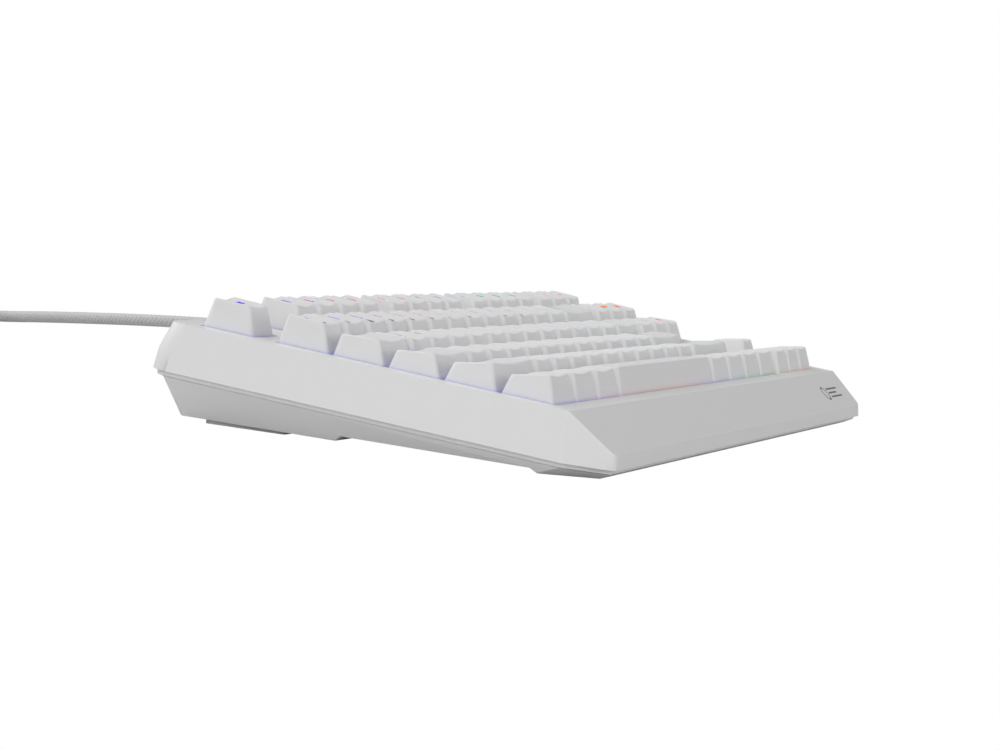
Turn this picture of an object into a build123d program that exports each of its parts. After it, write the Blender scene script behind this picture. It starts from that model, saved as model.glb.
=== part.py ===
from build123d import *
import math
import os

# A tenkeyless mechanical keyboard: a wedge-shaped two-part case, a steel switch plate over a
# circuit board, 87 switches with sculpted caps, wire stabilisers, flip feet and a braided cord.
#
# Row frame, millimetres: +X right, +Y to the back, +Z up, origin on the desk under the case's middle.
# Plate frame: x from the middle, y from the front edge of the key field, z up from the bezel's top.
# It leans back by TILT, and place() carries a solid from it to the row frame.

os.makedirs("parts", exist_ok=True)

# ---------------------------------------------------------------- driving dimensions
UNIT = 19.05                # key pitch
ROW_COUNT = 5               # rows of the main block, without the function row
FIELD_UNITS = 18.25         # width of the key field in key pitches
FUNCTION_GAP = 0.39         # gap in front of the function row, in key pitches
TILT = 4.6                  # lean of the plate frame, degrees
BEZEL_HEIGHT = 21.3         # bezel above the desk at the front edge of the key field

HALF_FIELD = FIELD_UNITS * UNIT / 2
FIELD_DEPTH = (ROW_COUNT + 1 + FUNCTION_GAP) * UNIT

# case outline in the plate frame: the overhang past the key field, and the place front to back
BEZEL_SIDE, BEZEL_FRONT, BEZEL_REAR = 7.5, -7.08, 130.0
SEAM_Z = -15.6              # parting line between the two shells
SEAM_SIDE, SEAM_REAR = 10.5, 133.0
KNEE_Y, KNEE_Z = 132.8, -9.0    # where the rear wall bends from leaning to upright
KNEE_RADIUS = 14.0
LIP_TOP_Y, LIP_TOP_Z, LIP_TOP_SIDE = -22.3, -11.1, 0.96
LIP_BOTTOM_Y = -23.2
FACET_SIDE_Y = -8.9         # where the front corner facet meets the side at the seam
SHELL_WALL = 2.4
REAR_CORNER_RADIUS, TRAY_CORNER_RADIUS, LIP_CORNER_RADIUS = 7.0, 3.0, 5.0

# bottom shell in the plate frame: a band under the seam, then walls that lean in
BAND_SIDE, BAND_FRONT, BAND_REAR = 8.8, -21.3, 130.6
BAND_FACET_Y = -8.0
BAND_BOTTOM_Z = -17.2
GROOVE_HEIGHT, GROOVE_DEPTH = 0.22, 0.35
LOW_SIDE, LOW_TOP_REAR, LOW_REAR, LOW_Z = 0.0, 128.5, 124.0, -29.6
LOW_FRONT, LOW_FRONT_Z = -16.6, -20.0
# underside in the row frame, as (y in the plate frame's sense, height above the desk)
UNDERSIDE = [(-30.0, 0.6), (-0.4, 0.4), (2.0, 1.9), (66.0, 2.7), (68.0, 0.9), (140.0, 1.7)]

# the stack inside, heights in the plate frame
PLATE_TOP, PLATE_THICKNESS = -7.2, 1.5
BOARD_GAP = 5.0             # plate top to board top
BOARD_THICKNESS = 1.6
PLATE_MARGIN, BOARD_MARGIN = 4.5, 1.5

# switch
TRAVEL = 4.0
SWITCH_BODY, SWITCH_FLANGE = 13.9, 15.6
STEM_TOP = 10.2             # top of the stem's cross above the plate
STEM_SHOULDER = 6.5
CROSS_LONG, CROSS_WIDE = 4.1, 1.3

# keycap
CAP_GAP = 0.475             # from a key's grid cell to the cap's foot
CAP_FOOT = -1.2             # the cap's lower edge in the plate frame
CAP_WALL = 1.5
CAP_TOP_SIDE = 2.2          # from a key's grid cell to the side edge of its top
DISH_DEPTH = 1.0
CAP_CORNER = 1.2
CAP_POST_RADIUS = 2.65

# stabiliser
WIRE_RADIUS = 0.7
WIRE_Y, WIRE_Z = -8.8, 1.0  # the wire's hinge line, from the stem and above the plate
ARM_END_Y, ARM_RISE = -1.5, 2.0

# cord
CORD_DIAMETER = 4.7
COIL_RADII = (15.0, 24.6)   # innermost and outermost turn
COIL_PITCH = 4.8
COIL_LAYERS = 4
TIE_THICKNESS = 1.0

# rows from the front: front edge of the cap's top (y, z) and its back edge, from the row's start
ROW_PROFILES = [
    (4.22, 8.73, 16.83, 6.18),
    (4.26, 8.52, 16.85, 6.06),
    (4.58, 7.36, 17.16, 6.00),
    (4.38, 7.82, 17.39, 7.24),
    (4.74, 9.31, 17.44, 9.71),
    (4.26, 9.38, 17.04, 9.73),
]

# single keys: node name, row, left edge and width in key pitches
SINGLE_KEYS = [
    ("key_left_ctrl", 0, 0.0, 1.25),
    ("key_left_system", 0, 1.25, 1.25),
    ("key_left_alt", 0, 2.5, 1.25),
    ("key_space", 0, 3.75, 6.25),
    ("key_right_alt", 0, 10.0, 1.25),
    ("key_fn", 0, 11.25, 1.25),
    ("key_menu", 0, 12.5, 1.25),
    ("key_right_ctrl", 0, 13.75, 1.25),
    ("key_left", 0, 15.25, 1.0),
    ("key_down", 0, 16.25, 1.0),
    ("key_right", 0, 17.25, 1.0),
    ("key_left_shift", 1, 0.0, 2.25),
    ("key_right_shift", 1, 12.25, 2.75),
    ("key_up", 1, 16.25, 1.0),
    ("key_caps_lock", 2, 0.0, 1.75),
    ("key_enter", 2, 12.75, 2.25),
    ("key_tab", 3, 0.0, 1.5),
    ("key_backslash", 3, 13.5, 1.5),
    ("key_delete", 3, 15.25, 1.0),
    ("key_end", 3, 16.25, 1.0),
    ("key_page_down", 3, 17.25, 1.0),
    ("key_grave", 4, 0.0, 1.0),
    ("key_backspace", 4, 13.0, 2.0),
    ("key_insert", 4, 15.25, 1.0),
    ("key_home", 4, 16.25, 1.0),
    ("key_page_up", 4, 17.25, 1.0),
    ("key_escape", 5, 0.0, 1.0),
]
# blocks of equal keys: node name, row, left edge of the first and number of keys
KEY_BLOCKS = [
    ("keys_z_to_slash", 1, 2.25, 10),
    ("keys_a_to_quote", 2, 1.75, 11),
    ("keys_q_to_bracket", 3, 1.5, 12),
    ("keys_1_to_equals", 4, 1.0, 12),
    ("keys_f1_to_f4", 5, 2.0, 4),
    ("keys_f5_to_f8", 5, 6.5, 4),
    ("keys_f9_to_f12", 5, 11.0, 4),
    ("keys_print_to_pause", 5, 15.25, 3),
]
# openings in the bezel: left, right, front row and the row behind the last
BEZEL_OPENINGS = [
    (0.0, 15.0, 0, 5),
    (15.25, 18.25, 0, 1),
    (16.25, 17.25, 0, 2),
    (15.25, 18.25, 3, 5),
    (0.0, 1.0, 5, 6),
    (2.0, 6.0, 5, 6),
    (6.5, 10.5, 5, 6),
    (11.0, 15.0, 5, 6),
    (15.25, 18.25, 5, 6),
]
OPENING_CLEARANCE = 0.3

# case screws in the plate frame: the front ones meet under the front slope, the others under
# the bar between the function row and the number row, through the plate and the board
FRONT_SCREW_X, FRONT_SCREW_Y, FRONT_BOSS_Z = (-150.0, -50.0, 50.0, 150.0), -10.0, -11.5
BAR_SCREW_X = (-165.0, -55.0, 55.0, 165.0)
BAR_SCREW_Y = (ROW_COUNT + FUNCTION_GAP / 2) * UNIT
BOSS_RADIUS, SCREW_RADIUS, SCREW_HEAD_RADIUS, SCREW_HEAD_HEIGHT = 3.0, 1.2, 2.4, 1.8
WELL_BOSS_RADIUS, WELL_BOSS_TOP = 4.2, -14.2
SCREW_CLEARANCE = 0.1

# flip feet and rubber pads, in the row frame: x of the middle, hinge y and z
FLIP_X, FLIP_WIDTH, FLIP_LENGTH, FLIP_THICKNESS = 118.0, 20.0, 18.0, 4.0
FLIP_SIDE_WALL, FLIP_END_WALL = 3.0, 1.6
FLIP_HINGE_Y, FLIP_HINGE_Z, FLIP_BARREL = 52.0, 4.4, 2.6
FLIP_PIN_RADIUS, FLIP_PIN_LENGTH, FLIP_PIN_CLEARANCE = 1.2, 1.6, 0.05
FLIP_POCKET_GAP = 0.5
REAR_PAD_Y, REAR_PAD_LENGTH, REAR_PAD_WIDTH = 47.0, 28.0, 13.0
REAR_PAD_X = 166.0
FRONT_PAD_X, FRONT_PAD_Y, FRONT_PAD_LENGTH, FRONT_PAD_WIDTH = 140.0, -64.5, 36.0, 9.0

# cord outlet in the plate frame, and the boot around the cord in the row frame
OUTLET_Z, OUTLET_RADIUS = -10.4, 3.6
BOOT_LENGTH, BOOT_TIP_RADIUS, BOOT_COLLAR_RADIUS = 22.5, 2.7, 4.8
BOOT_COLLAR_LENGTH = 1.6

# cord's route in the row frame from the boot's tip to the coil, and from the coil to the plug
COIL_CENTRE = (46.3, 307.2)
COIL_EXIT_ANGLE = 119.25


# ---------------------------------------------------------------- frames and helpers
LEAN = math.radians(TILT)
CASE_FRONT = LIP_BOTTOM_Y * math.cos(LEAN) - SEAM_Z * math.sin(LEAN)
CASE_REAR = SEAM_REAR * math.cos(LEAN) - SEAM_Z * math.sin(LEAN)
ORIGIN_Y = -(CASE_FRONT + CASE_REAR) / 2
PLATE_FRAME = Location((0, ORIGIN_Y, BEZEL_HEIGHT), (TILT, 0, 0))


def place(shape):
    """A shape carried from the plate frame to the row frame."""
    return PLATE_FRAME * shape


def row_point(y, z):
    """Row-frame y and z of a point given by its plate-frame y and z."""
    return (
        y * math.cos(LEAN) - z * math.sin(LEAN) + ORIGIN_Y,
        y * math.sin(LEAN) + z * math.cos(LEAN) + BEZEL_HEIGHT,
    )


def face_plane(a, b, c, inside):
    """The plane through three points, its normal away from the point inside."""
    a, b, c = Vector(*a), Vector(*b), Vector(*c)
    normal = (b - a).cross(c - a).normalized()
    if normal.dot(Vector(*inside) - a) > 0:
        normal = normal * -1
    return Plane(origin=a, z_dir=normal)


def bounded(planes, inset=0.0):
    """The convex solid behind every plane, each plane moved inwards by inset."""
    solid = Pos(0, 55, 0) * Box(600, 400, 200)
    for plane in planes:
        solid = split(solid, bisect_by=plane.offset(-inset), keep=Keep.BOTTOM)
    return solid


def block(x, y, z):
    """A box between two x, two y and two z values."""
    size = (x[1] - x[0], y[1] - y[0], z[1] - z[0])
    return Pos((x[0] + x[1]) / 2, (y[0] + y[1]) / 2, (z[0] + z[1]) / 2) * Box(*size)


def rod(radius, x, y, low, high):
    """An upright cylinder at x, y from low to high."""
    return Pos(x, y, (low + high) / 2) * Cylinder(radius, high - low)


def cross_bar(radius, x, y, z):
    """A cylinder along X between two x values."""
    middle = Pos((x[0] + x[1]) / 2, y, z)
    return middle * Rot(0, 90, 0) * Cylinder(radius, x[1] - x[0])


def row_start(row):
    """Plate-frame y of the front edge of a row's grid cells."""
    return (row + (FUNCTION_GAP if row == ROW_COUNT else 0)) * UNIT


def key_middle(row, left, width):
    """Plate-frame x and y of the middle of a key."""
    return (left + width / 2) * UNIT - HALF_FIELD, row_start(row) + UNIT / 2


def write(name, *solids):
    """Writes one node; several solids stay separate in it."""
    shape = solids[0] if len(solids) == 1 else Compound(children=list(solids))
    export_step(shape, f"parts/{name}.step")


# every key as node name, row, left edge and width
KEYS = list(SINGLE_KEYS)
for node, row, first, count in KEY_BLOCKS:
    KEYS += [(node, row, first + index, 1.0) for index in range(count)]
SWITCH_PLACES = [key_middle(row, left, width) for _, row, left, width in KEYS]


# ---------------------------------------------------------------- case
def mirrored(plane_points):
    """The same three points on the other side of the case."""
    return [(-x, y, z) for x, y, z in plane_points]


INSIDE = (0, 50, -8)


def side_planes(points):
    """The planes through three points on the left and through their mirror images."""
    return [face_plane(*points, INSIDE), face_plane(*mirrored(points), INSIDE)]


def across(y, z, next_y, next_z):
    """A plane that runs the case's whole width through two points of its outline."""
    return face_plane((0, y, z), (10, y, z), (0, next_y, next_z), INSIDE)


BEZEL_CORNER = (-HALF_FIELD - BEZEL_SIDE, BEZEL_FRONT, 0)
SEAM_CORNER = (-HALF_FIELD - SEAM_SIDE, FACET_SIDE_Y, SEAM_Z)
LIP_CORNER = (-HALF_FIELD - LIP_TOP_SIDE, LIP_TOP_Y, LIP_TOP_Z)

TOP_PLANES = [
    Plane.XY,
    across(BEZEL_REAR, 0, KNEE_Y, KNEE_Z),
    across(KNEE_Y, KNEE_Z, SEAM_REAR, SEAM_Z),
    across(BEZEL_FRONT, 0, LIP_TOP_Y, LIP_TOP_Z),
    across(LIP_TOP_Y, LIP_TOP_Z, LIP_BOTTOM_Y, SEAM_Z),
    *side_planes([BEZEL_CORNER, SEAM_CORNER, (SEAM_CORNER[0], SEAM_REAR, SEAM_Z)]),
    *side_planes([BEZEL_CORNER, SEAM_CORNER, LIP_CORNER]),
]

BAND_CORNER = (-HALF_FIELD - BAND_SIDE, BAND_FACET_Y)
BAND_LIP_CORNER = (-HALF_FIELD + LIP_TOP_SIDE, BAND_FRONT)
BAND_PLANES = [
    across(BAND_REAR, 0, BAND_REAR, SEAM_Z),
    across(BAND_FRONT, 0, BAND_FRONT, SEAM_Z),
    *side_planes([(*BAND_CORNER, 0), (*BAND_CORNER, SEAM_Z), (BAND_CORNER[0], SEAM_REAR, 0)]),
    *side_planes([(*BAND_CORNER, 0), (*BAND_CORNER, SEAM_Z), (*BAND_LIP_CORNER, 0)]),
]

LOW_CORNER = (-HALF_FIELD - LOW_SIDE, LOW_REAR, LOW_Z)
BAND_LOW = (*BAND_CORNER, BAND_BOTTOM_Z)
BAND_LIP_LOW = (*BAND_LIP_CORNER, BAND_BOTTOM_Z)
LOW_LIP_CORNER = (-HALF_FIELD + 4 * LIP_TOP_SIDE, LOW_FRONT, LOW_FRONT_Z)
LOW_PLANES = [
    across(LOW_TOP_REAR, BAND_BOTTOM_Z, LOW_REAR, LOW_Z),
    across(BAND_FRONT, BAND_BOTTOM_Z, LOW_FRONT, LOW_FRONT_Z),
    *side_planes([BAND_LOW, (BAND_LOW[0], LOW_REAR, BAND_BOTTOM_Z), LOW_CORNER]),
    *side_planes([BAND_LOW, BAND_LIP_LOW, LOW_LIP_CORNER]),
]


def rounded_corners(solid, radius, y):
    """The solid with its upright corner edges near one y rounded."""
    edges = [
        edge
        for edge in solid.edges()
        if abs(edge.center().Y - y) < 6
        and abs(edge.center().X) > HALF_FIELD - 4
        and abs(edge.tangent_at(0.5).Z) > 0.5
    ]
    return fillet(edges, radius)


def rounded_knee(solid):
    """The solid with the bend of its rear wall rounded."""
    bend = [
        edge
        for edge in solid.edges()
        if abs(edge.center().Y - KNEE_Y) < 0.1 and abs(edge.center().Z - KNEE_Z) < 0.1
    ]
    return fillet(bend, KNEE_RADIUS)


def between(solid, low, high):
    """The part of a solid between two heights of the plate frame."""
    solid = split(solid, bisect_by=Plane.XY.offset(high), keep=Keep.BOTTOM)
    return split(solid, bisect_by=Plane.XY.offset(low), keep=Keep.TOP)


def opening(left, right, first_row, end_row):
    """The bezel's opening around a block of keys."""
    x = (left * UNIT - HALF_FIELD, right * UNIT - HALF_FIELD)
    y = (row_start(first_row), row_start(end_row - 1) + UNIT)
    grown = OPENING_CLEARANCE
    return block((x[0] - grown, x[1] + grown), (y[0] - grown, y[1] + grown), (-6.5, 1))


def top_shell():
    """The upper shell: bezel, sloping front, faceted corners, and the upper screw bosses."""
    outer = rounded_knee(between(bounded(TOP_PLANES), SEAM_Z, 1))
    outer = rounded_corners(outer, REAR_CORNER_RADIUS, BEZEL_REAR)
    outer = rounded_corners(outer, LIP_CORNER_RADIUS, LIP_TOP_Y)
    shell = outer - bounded(TOP_PLANES, SHELL_WALL)
    for left, right, first_row, end_row in BEZEL_OPENINGS:
        shell -= opening(left, right, first_row, end_row)
    for x in FRONT_SCREW_X:
        shell += rod(BOSS_RADIUS, x, FRONT_SCREW_Y, FRONT_BOSS_Z, -1) & outer
        shell -= rod(SCREW_RADIUS + SCREW_CLEARANCE, x, FRONT_SCREW_Y, -20, -5.5)
    for x in BAR_SCREW_X:
        shell += rod(BOSS_RADIUS, x, BAR_SCREW_Y, PLATE_TOP, -1)
        shell -= rod(SCREW_RADIUS + SCREW_CLEARANCE, x, BAR_SCREW_Y, -20, -2)
    outlet = Pos(0, SEAM_REAR, OUTLET_Z) * Rot(90, 0, 0) * Cylinder(OUTLET_RADIUS, 16)
    return shell - outlet


def underside_cut():
    """Everything below the underside's stepped outline, in the plate frame."""
    outline = []
    for y, height in UNDERSIDE:
        z = (height - BEZEL_HEIGHT - y * math.sin(LEAN)) / math.cos(LEAN)
        outline.append((y, z))
    outline += [(UNDERSIDE[-1][0], -150), (UNDERSIDE[0][0], -150)]
    face = make_face(Polyline(*[(0, y, z) for y, z in outline], close=True))
    return Pos(-250, 0, 0) * extrude(face, 500, dir=(1, 0, 0))


def flip_pocket(side):
    """The pocket and the pin bores of a flip foot, in the row frame."""
    x = side * FLIP_X
    half = FLIP_WIDTH / 2 + FLIP_POCKET_GAP
    radius = FLIP_BARREL + FLIP_POCKET_GAP
    top = FLIP_HINGE_Z + radius
    front = FLIP_HINGE_Y - FLIP_LENGTH - FLIP_POCKET_GAP - 3
    pocket = block((x - half, x + half), (front, FLIP_HINGE_Y), (-1, top))
    pocket += block((x - half, x + half), (FLIP_HINGE_Y - 1, FLIP_HINGE_Y + radius), (-1, top))
    reach = FLIP_WIDTH / 2 + FLIP_PIN_LENGTH + FLIP_POCKET_GAP
    bore = cross_bar(
        FLIP_PIN_RADIUS + FLIP_PIN_CLEARANCE, (x - reach, x + reach), FLIP_HINGE_Y, FLIP_HINGE_Z
    )
    return pocket, bore


def tray():
    """The lower shell's outer form: band under the seam, fine groove, and walls that lean in."""
    groove_bottom = BAND_BOTTOM_Z - GROOVE_HEIGHT
    band = between(bounded(BAND_PLANES), BAND_BOTTOM_Z, SEAM_Z)
    neck = between(bounded(LOW_PLANES, GROOVE_DEPTH), groove_bottom, BAND_BOTTOM_Z)
    low = between(bounded(LOW_PLANES), -60, groove_bottom) - underside_cut()
    band = rounded_corners(band, TRAY_CORNER_RADIUS, BEZEL_REAR)
    low = rounded_corners(low, TRAY_CORNER_RADIUS, BEZEL_REAR)
    return band + neck + low


def lower_boss(form, x, y, top):
    """A boss of the lower shell: stout around the screw's well, slim up to its top."""
    stout = rod(WELL_BOSS_RADIUS, x, y, -40, SEAM_Z) & form
    stout += rod(WELL_BOSS_RADIUS, x, y, SEAM_Z - 0.5, WELL_BOSS_TOP)
    return stout + rod(BOSS_RADIUS, x, y, SEAM_Z, top)


def bottom_shell():
    """The lower shell: tray, underside steps, screw bosses, and the pockets of the flip feet."""
    form = tray()
    hollow = bounded(BAND_PLANES + LOW_PLANES, SHELL_WALL)
    hollow -= Pos(0, 0, SHELL_WALL) * underside_cut()
    shell = form - hollow
    for x in FRONT_SCREW_X:
        shell += lower_boss(form, x, FRONT_SCREW_Y, FRONT_BOSS_Z)
    for x in BAR_SCREW_X:
        shell += lower_boss(form, x, BAR_SCREW_Y, PLATE_TOP - PLATE_THICKNESS)
    shell = place(shell - screw_wells())
    for side in (-1, 1):
        pocket, bore = flip_pocket(side)
        box = pocket.bounding_box()
        x = (box.min.X - FLIP_SIDE_WALL, box.max.X + FLIP_SIDE_WALL)
        y = (box.min.Y - FLIP_END_WALL, box.max.Y + FLIP_END_WALL)
        shell += block(x, y, (3.0, box.max.Z + FLIP_END_WALL))
        shell = shell - pocket - bore
    return shell - rubber_feet()


# ---------------------------------------------------------------- underside pieces
def pad(x, y, width, length, top):
    """A rubber pad on the underside, with rounded lower edges."""
    body = block((x - width / 2, x + width / 2), (y - length / 2, y + length / 2), (0, top))
    upright = [edge for edge in body.edges() if abs(edge.tangent_at(0.5).Z) > 0.9]
    return fillet(upright, 1.5)


def rubber_feet():
    """Two long pads behind and two in front, let into the lower shell."""
    feet = []
    for side in (-1, 1):
        feet.append(pad(side * REAR_PAD_X, REAR_PAD_Y, REAR_PAD_WIDTH, REAR_PAD_LENGTH, 2.2))
        feet.append(pad(side * FRONT_PAD_X, FRONT_PAD_Y, FRONT_PAD_LENGTH, FRONT_PAD_WIDTH, 1.4))
    return feet


def screw(x, y, seat, tip):
    """A case screw in the plate frame, its head down, with a cross recess."""
    head = rod(SCREW_HEAD_RADIUS, x, y, seat - SCREW_HEAD_HEIGHT, seat)
    shank = rod(SCREW_RADIUS, x, y, seat, tip)
    slot = Box(2.6, 0.6, 1.6) + Box(0.6, 2.6, 1.6)
    return head + shank - Pos(x, y, seat - SCREW_HEAD_HEIGHT) * slot


FRONT_SEAT_Z, BAR_SEAT_Z = -15.6, -14.6


def case_screws():
    """The eight case screws, in the row frame."""
    front = [screw(x, FRONT_SCREW_Y, FRONT_SEAT_Z, -6) for x in FRONT_SCREW_X]
    bar = [screw(x, BAR_SCREW_Y, BAR_SEAT_Z, -3) for x in BAR_SCREW_X]
    return [place(solid) for solid in front + bar]


def screw_wells():
    """The wells that the screws go up in, from the underside to each head's seat."""
    wells = []
    for x in FRONT_SCREW_X:
        wells.append(rod(SCREW_HEAD_RADIUS + 0.3, x, FRONT_SCREW_Y, -40, FRONT_SEAT_Z))
        wells.append(rod(SCREW_RADIUS + 0.3, x, FRONT_SCREW_Y, -40, FRONT_BOSS_Z + 1))
    for x in BAR_SCREW_X:
        wells.append(rod(SCREW_HEAD_RADIUS + 0.3, x, BAR_SCREW_Y, -40, BAR_SEAT_Z))
        wells.append(rod(SCREW_RADIUS + 0.3, x, BAR_SCREW_Y, -40, PLATE_TOP))
    return wells


def flip_foot(side):
    """A foot that folds flat into the underside, with its barrel and two hinge pins."""
    x = side * FLIP_X
    half = FLIP_WIDTH / 2
    low = FLIP_HINGE_Z - FLIP_BARREL
    foot = cross_bar(FLIP_BARREL, (x - half, x + half), FLIP_HINGE_Y, FLIP_HINGE_Z)
    front = FLIP_HINGE_Y - FLIP_LENGTH
    foot += block((x - half, x + half), (front, FLIP_HINGE_Y), (low, low + FLIP_THICKNESS))
    reach = half + FLIP_PIN_LENGTH
    foot += cross_bar(FLIP_PIN_RADIUS, (x - reach, x + reach), FLIP_HINGE_Y, FLIP_HINGE_Z)
    grip = block((x - 5, x + 5), (front - 1, front + 3), (low - 1, low + 1))
    return foot - grip


# ---------------------------------------------------------------- plate, board and switches
def stabilised(width):
    """Half the distance between a key's two stabilisers, or None on a short key."""
    if width > 6:
        return 50.0
    return 11.938 if width >= 2 else None


def stabilisers():
    """Every stabilised key as its name, middle x and y, and half spread."""
    found = []
    for name, row, left, width in SINGLE_KEYS:
        if stabilised(width):
            found.append((name, *key_middle(row, left, width), stabilised(width)))
    return found


def switch_plate():
    """The steel plate with a square hole for each switch and a slot for each stabiliser."""
    x = HALF_FIELD + PLATE_MARGIN
    y = (-PLATE_MARGIN / 2, FIELD_DEPTH + PLATE_MARGIN / 2)
    z = (PLATE_TOP - PLATE_THICKNESS, PLATE_TOP)
    plate = block((-x, x), y, z)
    deep = (z[0] - 1, z[1] + 1)
    holes = [
        block((cx - 7, cx + 7), (cy - 7, cy + 7), deep) for cx, cy in SWITCH_PLACES
    ]
    for _, cx, cy, spread in stabilisers():
        for side in (-1, 1):
            sx = cx + side * spread
            holes.append(block((sx - 2.8, sx + 2.8), (cy - 4.1, cy + 4.1), deep))
            holes.append(block((sx - 1.3, sx + 1.3), (cy - 9.6, cy - 4.0), deep))
    for sx in BAR_SCREW_X:
        holes.append(rod(SCREW_RADIUS + 0.4, sx, BAR_SCREW_Y, *deep))
    return place(plate - holes)


BOARD_TOP = PLATE_TOP - BOARD_GAP


def circuit_board():
    """The board with a hole for each switch's post, its controller and its cord socket."""
    x = HALF_FIELD + BOARD_MARGIN
    z = (BOARD_TOP - BOARD_THICKNESS, BOARD_TOP)
    board = block((-x, x), (-BOARD_MARGIN, FIELD_DEPTH + BOARD_MARGIN), z)
    deep = (z[0] - 1, z[1] + 1)
    holes = [rod(2.1, cx, cy, *deep) for cx, cy in SWITCH_PLACES]
    holes += [rod(BOSS_RADIUS + 0.4, sx, BAR_SCREW_Y, *deep) for sx in BAR_SCREW_X]
    board -= holes
    middle_y = BAR_SCREW_Y
    controller = block((12, 19), (middle_y - 3.5, middle_y + 3.5), (z[0] - 1.2, z[0]))
    socket = block((-6, 6), (FIELD_DEPTH - 6.5, FIELD_DEPTH - 0.5), (z[0] - 5, z[0]))
    socket -= block((-5, 5), (FIELD_DEPTH - 5.5, FIELD_DEPTH + 0.5), (z[0] - 4, z[0] - 1))
    return [place(board), place(controller), place(socket)]


def lower_housing():
    """A switch's lower housing, its plate's top at z 0: body, flange, post and spring guide."""
    half, flange = SWITCH_BODY / 2, SWITCH_FLANGE / 2
    body = block((-half, half), (-half, half), (-BOARD_GAP, 0))
    body += block((-flange, flange), (-flange, flange), (0, 0.9))
    body -= block((-4.8, 4.8), (-3.0, 3.0), (-3.9, 2))
    body -= block((-2.3, 2.3), (3.5, 6.5), (-6, 2))
    body += rod(1.25, 0, 0, -4, -1.9)
    return body + rod(2.0, 0, 0, -8, -BOARD_GAP)


def upper_housing():
    """A switch's upper housing, tapered, with the stem's opening and the light's slot."""
    foot = Pos(0, 0, 0.9) * Rectangle(14.0, 14.0)
    head = Pos(0, 0, 6.2) * Rectangle(11.0, 8.6)
    body = loft([foot.face(), head.face()])
    body -= block((-4.8, 4.8), (-3.0, 3.0), (0, 5.6))
    body -= block((-3.9, 3.9), (-3.2, 3.2), (5, 7))
    return body - block((-2.3, 2.3), (3.5, 7.5), (0, 7))


def cross(low, high, grown=0.0):
    """The cross-shaped top of a stem."""
    long, wide = CROSS_LONG / 2 + grown, CROSS_WIDE / 2 + grown
    shape = block((-long, long), (-wide, wide), (low, high))
    return shape + block((-wide, wide), (-long, long), (low, high))


def stem():
    """A switch's moving stem: wings, shoulder, cross, and the spring's recess below."""
    body = block((-4.4, 4.4), (-2.6, 2.6), (1.6, 5.2))
    body += block((-3.5, 3.5), (-2.6, 2.6), (1.6, STEM_SHOULDER))
    body += cross(STEM_SHOULDER, STEM_TOP)
    return body - rod(2.2, 0, 0, 1, 4)


def spring():
    """The space of a switch's coil spring, as a thin sleeve."""
    return rod(2.0, 0, 0, -3.9, 4.0) - rod(1.6, 0, 0, -5, 5)


def light():
    """The light under a key, on the board in the switch's slot."""
    return block((-1.7, 1.7), (3.8, 6.2), (-BOARD_GAP, -BOARD_GAP + 1.9))


def at_switches(shape):
    """Copies of a shape, drawn about a plate's top, at every switch."""
    return [place(Pos(x, y, PLATE_TOP) * shape) for x, y in SWITCH_PLACES]


# ---------------------------------------------------------------- stabilisers
def stabiliser_housing(inward):
    """A stabiliser's housing with its slot for the wire's arm and its clip for the wire."""
    body = block((-3.8, 3.8), (-4.7, 4.7), (0, 5.6))
    body -= block((-3.05, 3.05), (-3.9, 3.9), (-1, 7))
    body -= block((-1.2, 1.2), (-6, -3.8), (-1, 7))
    lug_x = (1.6, 3.8) if inward > 0 else (-3.8, -1.6)
    lug = block(lug_x, (WIRE_Y - 1.3, -4.6), (0, 1.5))
    lug -= cross_bar(WIRE_RADIUS + 0.05, (-5, 5), WIRE_Y, WIRE_Z)
    return body + lug


def stabiliser_stem():
    """A stabiliser's moving stem, with its notch for the wire's arm."""
    body = block((-2.2, 2.2), (-3.4, 3.4), (0.7, STEM_SHOULDER))
    body += cross(STEM_SHOULDER, STEM_TOP)
    return body - block((-1.1, 1.1), (-4, -0.7), (1.4, 4.6))


def stabiliser_wire(spread):
    """The bent wire of a stabiliser, about the key's middle."""
    path = FilletPolyline(
        (-spread, ARM_END_Y, WIRE_Z + ARM_RISE),
        (-spread, WIRE_Y, WIRE_Z),
        (spread, WIRE_Y, WIRE_Z),
        (spread, ARM_END_Y, WIRE_Z + ARM_RISE),
        radius=WIRE_RADIUS * 1.2,
    )
    start = path.edges()[0]
    section = Plane(origin=start @ 0, z_dir=start % 0) * Circle(WIRE_RADIUS)
    return sweep(section, path=path)


# ---------------------------------------------------------------- keycaps
def frustum(corners_low, low, top_edge, inset):
    """A tapered block from a level foot to a sloping top, both with rounded corners."""
    (x0, x1), (y0, y1) = corners_low
    (top_x0, top_x1), (front_y, front_z), (back_y, back_z) = top_edge
    radius = max(CAP_CORNER - inset / 3, 0.5)
    foot = Pos((x0 + x1) / 2, (y0 + y1) / 2, low) * RectangleRounded(x1 - x0, y1 - y0, radius)
    slope = Vector(0, back_y - front_y, back_z - front_z)
    normal = Vector(1, 0, 0).cross(slope).normalized()
    middle = Vector((top_x0 + top_x1) / 2, (front_y + back_y) / 2, (front_z + back_z) / 2)
    plane = Plane(origin=middle, x_dir=(1, 0, 0), z_dir=normal)
    head = plane * RectangleRounded(top_x1 - top_x0, slope.length, radius)
    return loft([foot.face(), head.face()])


def dish(width, row):
    """The cylinder that hollows a cap's top from side to side."""
    front_y, front_z, back_y, back_z = ROW_PROFILES[row]
    half = width * UNIT / 2 - CAP_TOP_SIDE
    radius = (half**2 + DISH_DEPTH**2) / (2 * DISH_DEPTH)
    slope = Vector(0, back_y - front_y, back_z - front_z).normalized()
    normal = Vector(1, 0, 0).cross(slope)
    middle = Vector(width * UNIT / 2, (front_y + back_y) / 2, (front_z + back_z) / 2)
    axis = Plane(origin=middle + normal * (radius - DISH_DEPTH), x_dir=(1, 0, 0), z_dir=slope)
    return axis * Cylinder(radius, 30)


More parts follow.
